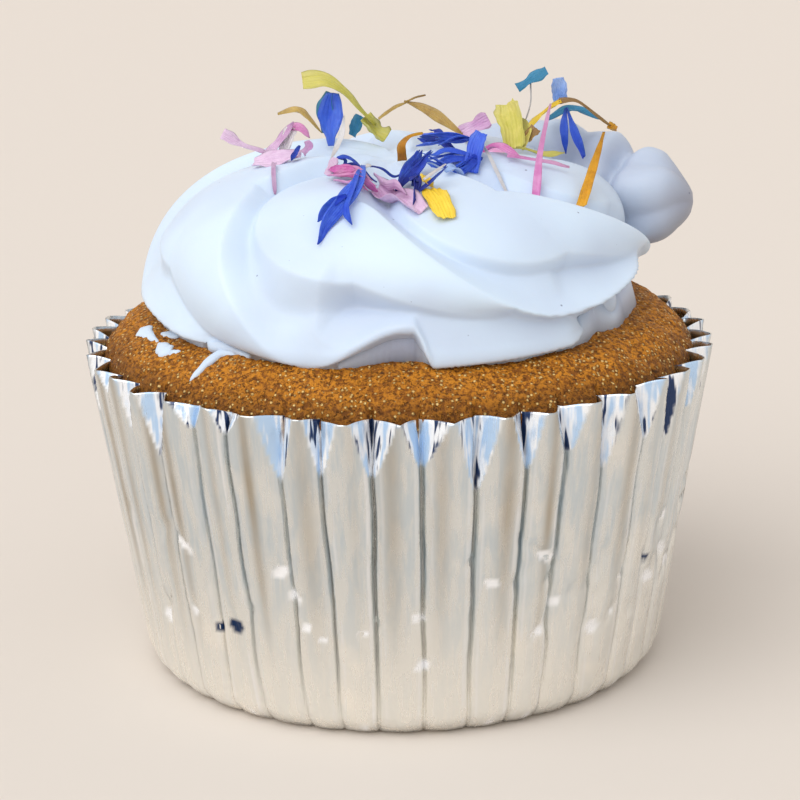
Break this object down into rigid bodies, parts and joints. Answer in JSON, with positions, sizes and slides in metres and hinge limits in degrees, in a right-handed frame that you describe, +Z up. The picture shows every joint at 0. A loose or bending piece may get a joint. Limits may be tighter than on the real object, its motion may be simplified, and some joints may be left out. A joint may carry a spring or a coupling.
{
  "type": "cupcake",
  "caption": "Frosted cupcake: golden cake in a pleated foil case, topped with one piped swirl that ends in a tail.",
  "frame": {"origin": "centre of the flat underside of the foil case, which rests on the table", "axes": "+Z up through the cake, -Y towards the front that shows the ruffled edge of the frosting, +X to the right; the frosting's tail points to +X and +Y"},
  "size_m": [0.0614, 0.0614, 0.0506],
  "materials": {
    "foil": "thin bright rolled foil, pleated and slightly creased",
    "crumb": "baked golden-brown cake crust, fine sugary crumb",
    "cream": "smooth piped frosting, pale lavender white",
    "petals": "dried flower petals in mixed colours"
  },
  "bodies": {
    "root": {"foil_case": "foil", "cake": "crumb", "frosting": "cream"}
  },
  "joints": []
}
